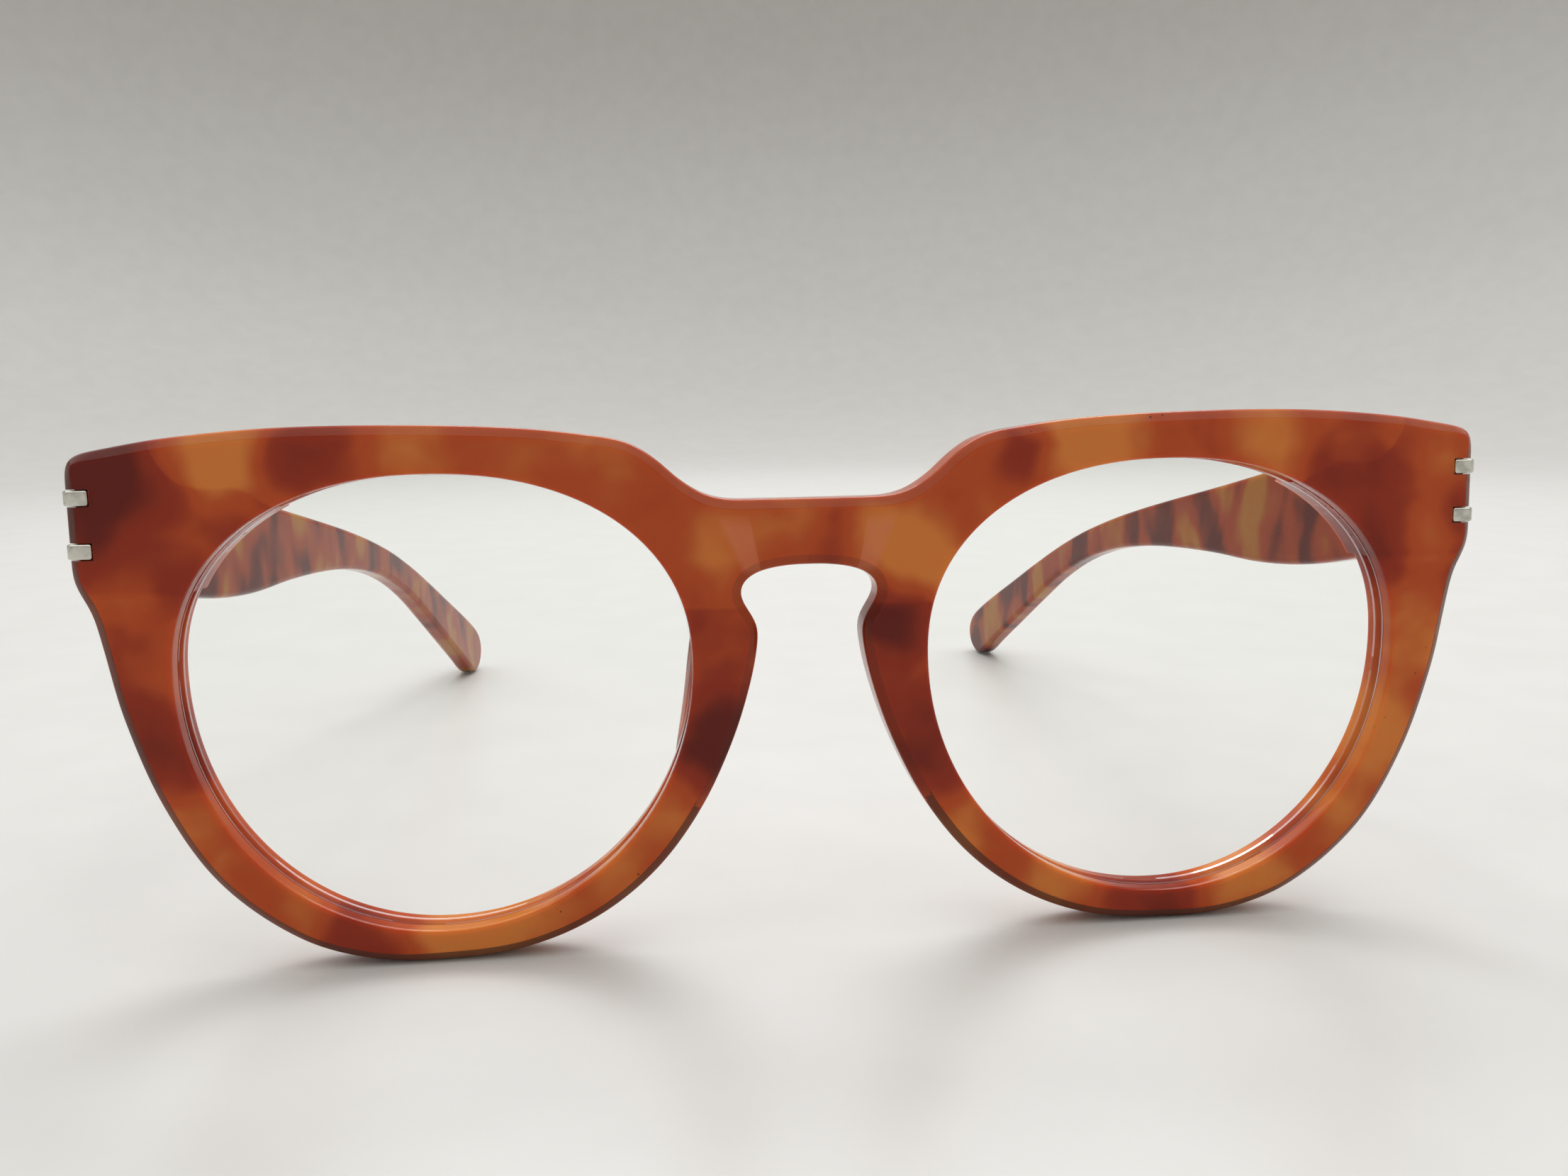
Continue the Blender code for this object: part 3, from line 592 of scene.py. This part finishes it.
def front_plastic():
    material, tree, shader = new_material("tortoise_front")
    vector = millimetres(tree)
    shade = backing_shade(tree, vector)
    tone = maths(tree, "SUBTRACT", cloud_tone(tree, vector), maths(tree, "MULTIPLY", shade, 0.12))
    # painted highlight: pale pink wedges stand in for light reflected off the bridge facets
    highlight_mask = maths(tree, "MULTIPLY", bridge_facet_highlight(tree, vector), 0.5)
    colour = mixed(tree, highlight_mask, tortoise_colour(tree, tone), FACET_HIGHLIGHT_PINK)
    # painted shade: the bevel darkens towards brown where it turns away from the light
    band = node(tree, "ShaderNodeAttribute", attribute_name="painted_bevel_shade")
    bevel_shaded = mixed(tree, maths(tree, "MULTIPLY", band.outputs["Fac"], 0.75), colour, BEVEL_SHADE_BROWN)
    plastic_finish(tree, shader, vector, bevel_shaded)
    return material


def temple_plastic(side, offset):
    """The same plastic cut across its layers: slanted upright streaks."""
    material, tree, shader = new_material("tortoise_temple_" + side)
    vector = millimetres(tree)
    streaks = node(tree, "ShaderNodeMapping", {"Vector": vector, "Rotation": (math.radians(-14), 0.0, 0.0),
                                               "Location": (offset, offset, 0.0), "Scale": (0.3, 0.7, 0.4)})
    bent = warped(tree, streaks.outputs["Vector"], 0.2, 4.0)
    broad = noise(tree, bent, 0.2, 1.8)
    tone = remap(tree, broad.outputs["Fac"], 0.32, 0.68, 0.0, 1.0)
    colour = ramp(tree, tone, [(0.1, PLUM), (0.55, CHESTNUT), (0.95, OLIVE_AMBER)])
    plastic_finish(tree, shader, vector, colour)
    return material


def pad_plastic():
    material, tree, shader = new_material("tortoise_pads")
    vector = millimetres(tree)
    mottle = noise(tree, warped(tree, vector, 0.12, 4.0), 0.13, 1.5)
    tone = remap(tree, mottle.outputs["Fac"], 0.3, 0.7, 0.1, 0.8)
    plastic_finish(tree, shader, vector, tortoise_colour(tree, tone))
    return material


def metal(name, colour, roughness, grain):
    """Metal with a brushed grain and slightly tarnished patches."""
    material, tree, shader = new_material(name)
    vector = millimetres(tree)
    brushed = node(tree, "ShaderNodeMapping", {"Vector": vector, "Scale": grain})
    lines = noise(tree, brushed.outputs["Vector"], 1.0, 3.0)
    patches = noise(tree, vector, 0.8, 3.0)
    tone = ramp(tree, patches.outputs["Fac"], [(0.3, tuple(0.72 * part for part in colour)), (0.6, colour)])
    tree.links.new(tone, shader.inputs["Base Color"])
    shader.inputs["Metallic"].default_value = 1.0
    rough = remap(tree, lines.outputs["Fac"], 0.3, 0.7, roughness * 0.8, roughness * 1.4)
    tree.links.new(rough, shader.inputs["Roughness"])
    inputs = {"Height": lines.outputs["Fac"], "Strength": 0.1, "Distance": 0.05 * MM}
    bump = node(tree, "ShaderNodeBump", inputs)
    tree.links.new(bump.outputs["Normal"], shader.inputs["Normal"])
    return material


def clear_lens():
    """Clear plastic: see-through, with a reflection that grows at grazing angles and faint smears."""
    material, tree, shader = new_material("lens_clear")
    tree.nodes.remove(shader)
    vector = millimetres(tree)
    smears = noise(tree, vector, 0.09, 5.0)
    gleam = node(tree, "ShaderNodeBsdfGlossy", {"Color": (0.9, 0.95, 1.0, 1.0)})
    tree.links.new(remap(tree, smears.outputs["Fac"], 0.4, 0.7, 0.0, 0.08), gleam.inputs["Roughness"])
    through = node(tree, "ShaderNodeBsdfTransparent", {"Color": (0.99, 0.993, 0.99, 1.0)})
    facing = node(tree, "ShaderNodeFresnel", {"IOR": 1.3})
    weight = maths(tree, "MULTIPLY", facing.outputs["Fac"], 0.3)
    mix = node(tree, "ShaderNodeMixShader", {0: weight, 1: through.outputs[0], 2: gleam.outputs[0]})
    tree.links.new(mix.outputs[0], tree.nodes["Material Output"].inputs["Surface"])
    return material


# ================= Front =================

def front_plane():
    lean = Matrix.Rotation(math.radians(90 - FRONT_LEAN), 4, "X")
    return Matrix.Translation(Vector((0.0, FRONT_Y, REST_LIFT)) * MM) @ lean


def bar_plan(grow):
    """Plan of a trim bar as (x, depth): along the front face, round the corner and back."""
    front = -BAR_PROUD - grow
    behind = BAR_THICK - BAR_PROUD + grow
    outer = BAR_OUTER_X + grow
    inside = BAR_OUTER_X - BAR_THICK - grow
    back = BAR_BACK_DEPTH + grow
    return [
        (BAR_INNER_X - grow, front), (BAR_OUTER_X - BAR_CORNER, front), (outer, front + BAR_CORNER),
        (outer, back), (inside, back), (inside, behind), (BAR_INNER_X - grow, behind),
    ]


def bar_mesh(height, grow):
    """A trim bar, or its slot when grown by a gap, in front plane coordinates."""
    shape = bmesh.new()
    rings = []
    for level in (height - BAR_TALL / 2 - grow, height + BAR_TALL / 2 + grow):
        rings.append([shape.verts.new((x * MM, level * MM, -depth * MM)) for x, depth in bar_plan(grow)])
    skin(shape, rings)
    for ring in rings:
        shape.faces.new(ring)
    return mesh_of(shape, "bar")


def end_piece_mesh(outline, opening, plane):
    """The hinge pad and the full-depth end piece behind the rim. The cutting boxes reach well past it."""
    wall = [(0.02, 2.2), (0.02, BLANK_DEPTH)]
    blank = edged_plate("blank", outline, wall, opening, wall)
    region = edged_plate("region", smooth_loop(END_PIECE_OUTLINE, 60.0), [(0.0, 2.0), (0.0, 10.0)])
    seat = box_mesh((40.0, 30.0, -20.0), (MITRE_WALL_X, 60.0, -PAD_DEPTH))
    into_plane = plane.inverted()
    mitre = box_mesh((30.0, FRONT_Y + MITRE_Y, 20.0), (90.0, FRONT_Y + 30.0, 70.0))
    mitre.transform(into_plane)
    return combined(blank, [("INTERSECT", region), ("DIFFERENCE", seat), ("DIFFERENCE", mitre)])


def mark_bevel_shade(mesh, outline):
    """Store how much painted shade each face of the bevel takes, most at the sides and the bottom of the
    front.
    """
    band = mesh.attributes.new("painted_bevel_shade", "FLOAT", "FACE")
    outwards = left_normals(outline) * (1 if is_clockwise(outline) else -1)
    for face in mesh.polygons:
        corners = np.array([tuple(mesh.vertices[index].co / MM) for index in face.vertices])
        away = np.hypot(outline[:, :1] - corners[:, 0], outline[:, 1:] - corners[:, 1])
        upwards = outwards[away.argmin(axis=0), 1].mean()
        near_edge = away.min(axis=0).max() < BAND_WIDTH and corners[:, 2].min() > -BAND_DEPTH
        # painted shade: stronger the further the bevel turns from facing up
        strength = max(BAND_AT_TOP, BAND_AT_SIDES * (1 - upwards))
        if corners[:, 0].mean() < KEYHOLE_REACH:
            strength = BAND_AT_KEYHOLE
        on_bevel = near_edge and face.normal.z < FLAT_FACE
        band.data[face.index].value = min(1.0, strength) if on_bevel else 0.0


def make_front(plane, material):
    outline = relaxed(smooth_loop(FRONT_OUTLINE, 0.5), 5)
    opening = opening_loop(260)
    rims = edged_plate("front", outline, OUTER_FRONT_EDGE + OUTER_BACK_EDGE, opening, OPENING_EDGE)
    steps = [("UNION", end_piece_mesh(outline, opening, plane))]
    steps += [("DIFFERENCE", bar_mesh(height, SLOT_GAP)) for height in BAR_HEIGHTS.values()]
    half = combined(rims, steps)
    mark_bevel_shade(half, outline)
    piece = add_piece("front_plastic", half, material, "front", plane)
    mirror = piece.modifiers.new("left_half", "MIRROR")
    mirror.use_bisect_axis[0] = True
    mirror.use_bisect_flip_axis[0] = False
    mirror.merge_threshold = 1e-5
    polish(piece)
    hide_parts("frame_front")


def make_trim_bars(plane, material):
    for level, height in BAR_HEIGHTS.items():
        for side, _, shown in both_sides(bar_mesh(height, 0.0)):
            name = "trim_bar_" + level + "_" + side
            piece = add_piece(name + "_metal", shown, material, "front", plane)
            break_edges(piece, BAR_ROUNDING)
            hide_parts(name)


def make_lenses(plane, material):
    """Flat lenses with a V edge that sits in the groove."""
    edge = opening_loop(200)
    away = -left_normals(edge)
    half_edge = [(-0.4, -0.9), (-0.14, -0.88), (-0.1, -0.6), (0.5, 0.0)]
    profile = half_edge + [(out, -along) for out, along in reversed(half_edge[:-1])]
    shape = bmesh.new()
    rings = [add_ring(shape, edge + away * out, GROOVE_AT + along) for out, along in profile]
    skin(shape, rings)
    shape.faces.new(rings[0])
    shape.faces.new(rings[-1])
    for side, _, shown in both_sides(mesh_of(shape, "lens")):
        piece = add_piece("lens_" + side + "_clear", shown, material, "front", plane)
        polish(piece)
        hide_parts("lens_" + side)


def make_nose_pads(plane, material):
    shape = bmesh.new()
    rings = []
    for height, middle, half_width, depth in PAD_SECTIONS:
        ring = []
        for index in range(9):
            angle = math.pi * index / 8
            behind = depth * math.sin(angle) ** 0.8 if 0 < index < 8 else 0.0
            x = middle + half_width * math.cos(angle) + 0.3 * behind
            ring.append(shape.verts.new((x * MM, height * MM, -(RIM_DEPTH - 0.02 + behind) * MM)))
        rings.append(ring)
    skin(shape, rings)
    shape.faces.new(rings[0])
    shape.faces.new(rings[-1])
    for side, _, shown in both_sides(mesh_of(shape, "pad")):
        piece = add_piece("nose_pad_" + side + "_plastic", shown, material, "front", plane)
        crease = piece.data.attributes.new("crease_edge", "FLOAT", "EDGE")
        for edge in piece.data.edges:
            ends = [piece.data.vertices[index].co.z for index in edge.vertices]
            flat = min(ends) > -(RIM_DEPTH + 0.05) * MM
            crease.data[edge.index].value = 0.9 if flat else 0.0
        soft = piece.modifiers.new("soft", "SUBSURF")
        soft.levels = 3
        soft.render_levels = 3
        piece.data.shade_smooth()
        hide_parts("nose_pad_" + side)


# ================= Hinges =================

def pivot(sign, turned):
    """Place of one hinge line, turned with its temple's toe-in or square to the front."""
    axis = Vector((sign * HINGE_X, FRONT_Y + MITRE_Y, 0.0)) * MM
    toe = sign * math.radians(TOE_IN) if turned else 0.0
    return Matrix.Translation(axis) @ Matrix.Rotation(toe, 4, "Z")


def rod_mesh(radius, low, high):
    return turned_mesh([(0.0, high), (radius, high), (radius, low), (0.0, low)], 40)


def leaf_mesh(plate, numbers, web_low, web_high, holes):
    """A hinge leaf: plate, webs and knuckles in one, bored for the screw and the pins."""
    steps = []
    for number in numbers:
        low = HINGE_BOTTOM_Z + number * (KNUCKLE_TALL + KNUCKLE_GAP)
        steps.append(("UNION", box_mesh((*web_low, low), (*web_high, low + KNUCKLE_TALL))))
        steps.append(("UNION", rod_mesh(KNUCKLE_RADIUS, low, low + KNUCKLE_TALL)))
    steps.append(("DIFFERENCE", rod_mesh(BORE_RADIUS, HINGE_BOTTOM_Z - 1, HINGE_BOTTOM_Z + HINGE_TALL + 1)))
    for place in holes:
        hole = rod_mesh(PIN_RADIUS + CLEARANCE, -2.0, 1.0)
        hole.transform(place)
        steps.append(("DIFFERENCE", hole))
    return combined(plate, steps)


def pin_mesh():
    """Domed rivet whose head sits on height 0."""
    dome = [(0.0, PIN_HEAD_TALL)]
    for step in range(1, 6):
        angle = math.radians(15 * step)
        dome.append((PIN_HEAD_RADIUS * math.sin(angle), PIN_HEAD_TALL * math.cos(angle)))
    rim = [(PIN_HEAD_RADIUS, 0.06), (PIN_HEAD_RADIUS - 0.02, 0.03)]
    return turned_mesh(dome + rim + [(PIN_RADIUS, 0.03), (PIN_RADIUS, -PIN_LENGTH), (0.0, -PIN_LENGTH)])


def screw_mesh():
    """Hinge screw: slotted cheese head, shank and a turned end."""
    under_head = HINGE_BOTTOM_Z + HINGE_TALL + CLEARANCE
    top = under_head + SCREW_HEAD_TALL
    bottom = HINGE_BOTTOM_Z - 0.2
    profile = [(0.0, top), (SCREW_HEAD_RADIUS * 0.75, top), (SCREW_HEAD_RADIUS * 0.92, top - 0.06),
               (SCREW_HEAD_RADIUS, top - 0.18), (SCREW_HEAD_RADIUS, under_head), (SCREW_RADIUS, under_head),
               (SCREW_RADIUS, bottom + 0.2), (SCREW_RADIUS * 0.7, bottom), (0.0, bottom)]
    slot = box_mesh((-2.0, -0.16, top - 0.32), (2.0, 0.16, top + 1.0))
    return combined(turned_mesh(profile), [("DIFFERENCE", slot)])


def fit_pair(name, mesh, material, turned, width):
    """The right piece and its mirrored twin, each on its own side's hinge."""
    for side, sign, shown in both_sides(mesh):
        body = "temple_" + side if turned else "front"
        piece = add_piece(name + "_" + side + "_metal", shown, material, body, pivot(sign, turned))
        break_edges(piece, width)
        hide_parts(name + "_" + side)


def make_hinges(hinge_metal, screw_metal):
    face_y = FRONT_LEAF_Y + LEAF_THICK - MITRE_Y
    front_plate = box_mesh((FRONT_LEAF_X[0] - HINGE_X, FRONT_LEAF_Y - MITRE_Y, HINGE_BOTTOM_Z),
                           (FRONT_LEAF_X[1] - HINGE_X, face_y, HINGE_BOTTOM_Z + HINGE_TALL))
    upright = Matrix.Rotation(math.radians(-90), 4, "X")
    front_pins = {level: Matrix.Translation(Vector((FRONT_PIN_X - HINGE_X, face_y, z)) * MM) @ upright
                  for level, z in PIN_HEIGHTS.items()}
    front_leaf = leaf_mesh(front_plate, (0, 2, 4), (-KNUCKLE_RADIUS, face_y - LEAF_THICK / 2),
                           (KNUCKLE_RADIUS * 0.8, 0.0), front_pins.values())
    fit_pair("front_hinge", front_leaf, hinge_metal, False, LEAF_ROUNDING)

    face_x = TEMPLE_OFFSET + TEMPLE_SINK - LEAF_THICK
    temple_plate = box_mesh((face_x, TEMPLE_LEAF_Y[0], HINGE_BOTTOM_Z),
                            (face_x + LEAF_THICK, TEMPLE_LEAF_Y[1], HINGE_BOTTOM_Z + HINGE_TALL))
    sideways = Matrix.Rotation(math.radians(-90), 4, "Y")
    temple_pins = {level: Matrix.Translation(Vector((face_x, TEMPLE_PIN_Y, z)) * MM) @ sideways
                   for level, z in PIN_HEIGHTS.items()}
    temple_leaf = leaf_mesh(temple_plate, (1, 3), (0.0, 0.05), (TEMPLE_OFFSET, KNUCKLE_RADIUS * 0.9),
                            temple_pins.values())
    fit_pair("temple_hinge", temple_leaf, hinge_metal, True, LEAF_ROUNDING)

    for group, places, turned in (("front_pin_", front_pins, False), ("temple_pin_", temple_pins, True)):
        for level, place in places.items():
            pin = pin_mesh()
            pin.transform(place)
            fit_pair(group + level, pin, screw_metal, turned, PIN_ROUNDING)
    fit_pair("hinge_screw", screw_mesh(), screw_metal, False, SCREW_ROUNDING)


# ================= Temples =================

def temple_mesh():
    toe = math.radians(TOE_IN)
    start = MITRE_Y + (TEMPLE_OFFSET + TEMPLE_THICK / 2) * math.sin(toe)
    view = [((point[0] - start) / math.cos(toe), *point[1:]) for point in TEMPLE_OUTLINE]
    outline = relaxed(smooth_loop(view, 0.8), 4)
    profile = TEMPLE_EDGE + [(distance, TEMPLE_THICK - depth) for distance, depth in reversed(TEMPLE_EDGE)]
    mesh = edged_plate("temple", outline, profile)
    outer_face = (TEMPLE_OFFSET + TEMPLE_THICK) * MM
    mesh.transform(Matrix(((0, 0, 1, outer_face), (1, 0, 0, 0), (0, 1, 0, 0), (0, 0, 0, 1))))
    beyond = box_mesh((-10.0, -20.0, 20.0), (20.0, MITRE_GAP, 70.0))
    beyond.transform(Matrix.Rotation(-toe, 4, "Z"))
    sunk = TEMPLE_OFFSET + TEMPLE_SINK + CLEARANCE
    pocket = box_mesh((0.0, TEMPLE_LEAF_Y[0] - CLEARANCE, HINGE_BOTTOM_Z - CLEARANCE),
                      (sunk, TEMPLE_LEAF_Y[1] + CLEARANCE, HINGE_BOTTOM_Z + HINGE_TALL + CLEARANCE))
    return combined(mesh, [("DIFFERENCE", beyond), ("DIFFERENCE", pocket)])


def make_temples(materials):
    for side, sign, shown in both_sides(temple_mesh()):
        name = "temple_" + side
        hinge = pivot(sign, True)
        piece = add_piece(name + "_plastic", shown, materials[side], name, hinge)
        polish(piece)
        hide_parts(name)


# ================= Stage =================

def make_stage():
    """A shallow round bowl, one plain pale paint all over."""
    profile = [(0.001, 0.0), (0.3, 0.0), (STAGE_FLAT, 0.0)]
    for step in range(1, STAGE_CURVE_STEPS + 1):
        angle = math.pi / 2 * step / STAGE_CURVE_STEPS
        profile.append((STAGE_FLAT + STAGE_CURVE * math.sin(angle), STAGE_CURVE * (1 - math.cos(angle))))
    profile.append((STAGE_FLAT + STAGE_CURVE, STAGE_CURVE + STAGE_WALL))
    shape = bmesh.new()
    rings = []
    turn = [2 * math.pi * step / STAGE_SIDES for step in range(STAGE_SIDES)]
    for radius, height in profile:
        rings.append([shape.verts.new((radius * math.cos(a), radius * math.sin(a), height)) for a in turn])
    skin(shape, rings)
    shape.faces.new(rings[0])
    mesh = mesh_of(shape, "stage")
    mesh.shade_smooth()
    mesh.materials.append(stage_paint())
    stage = bpy.data.objects.new("stage", mesh)
    bpy.context.scene.collection.objects.link(stage)


def stage_paint():
    """Satin off-white with a faint dustiness."""
    material, tree, shader = new_material("stage_paint")
    place = node(tree, "ShaderNodeTexCoord")
    dust = noise(tree, place.outputs["Object"], 60.0, 3.0)
    dusty = remap(tree, dust.outputs["Fac"], 0.35, 0.65, 0.0, 1.0)
    tree.links.new(mixed(tree, dusty, STAGE_PAINT, STAGE_DUST), shader.inputs["Base Color"])
    shader.inputs["Roughness"].default_value = 0.35
    return material


def make_sky():
    """Bright and soft above and behind the object, dim and warm low in front of it."""
    world = bpy.data.worlds.new("studio")
    world.use_nodes = True
    tree = world.node_tree
    place = node(tree, "ShaderNodeTexCoord")
    parts = node(tree, "ShaderNodeSeparateXYZ", {"Vector": place.outputs["Generated"]})
    facing = maths(tree, "ADD", maths(tree, "MULTIPLY", parts.outputs["Y"], 0.45), parts.outputs["Z"])
    colour = ramp(tree, remap(tree, facing, -0.2, 1.0, 0.0, 1.0), SKY_STOPS)
    tree.links.new(colour, tree.nodes["Background"].inputs["Color"])
    tree.nodes["Background"].inputs["Strength"].default_value = SKY_STRENGTH
    bpy.context.scene.world = world


def make_window():
    """One soft rectangular light, high behind the object."""
    data = bpy.data.lights.new("window", "AREA")
    data.shape = "RECTANGLE"
    data.size, data.size_y = WINDOW_SIZE
    data.energy = WINDOW_WATTS
    data.color = WINDOW_WHITE
    lamp = bpy.data.objects.new("window", data)
    lamp.location = WINDOW_PLACE
    aim = Vector(WINDOW_TARGET) - Vector(WINDOW_PLACE)
    lamp.rotation_euler = aim.to_track_quat("-Z", "Y").to_euler()
    lamp.visible_camera = False
    bpy.context.scene.collection.objects.link(lamp)


def make_camera():
    """Standing where the photographer did: in front of the left rim, looking slightly down and right."""
    data = bpy.data.cameras.new("camera")
    data.sensor_width = 36.0
    data.lens = CAMERA_LENS
    data.clip_start = 0.005
    camera = bpy.data.objects.new("camera", data)
    camera.location = Vector((CAMERA_X, FRONT_Y - CAMERA_BEFORE_FRONT, CAMERA_HEIGHT + REST_LIFT)) * MM
    pan = Matrix.Rotation(math.radians(CAMERA_PAN), 4, "Z")
    tilt = Matrix.Rotation(math.radians(90 + CAMERA_TILT), 4, "X")
    roll = Matrix.Rotation(math.radians(CAMERA_ROLL), 4, "Z")
    camera.rotation_euler = (pan @ tilt @ roll).to_euler()
    bpy.context.scene.collection.objects.link(camera)
    bpy.context.scene.camera = camera


def main():
    bpy.context.scene.view_settings.view_transform = "Standard"
    make_camera()
    make_stage()
    make_sky()
    make_window()
    plane = front_plane()
    make_front(plane, front_plastic())
    make_trim_bars(plane, metal("trim_metal", TRIM_METAL, 0.22, (0.6, 9.0, 0.6)))
    make_lenses(plane, clear_lens())
    make_nose_pads(plane, pad_plastic())
    make_temples({"right": temple_plastic("right", 0.0), "left": temple_plastic("left", 31.0)})
    make_hinges(metal("hinge_metal", HINGE_METAL, 0.24, (0.6, 0.6, 9.0)),
                metal("screw_metal", SCREW_METAL, 0.2, (4.0, 4.0, 4.0)))


main()
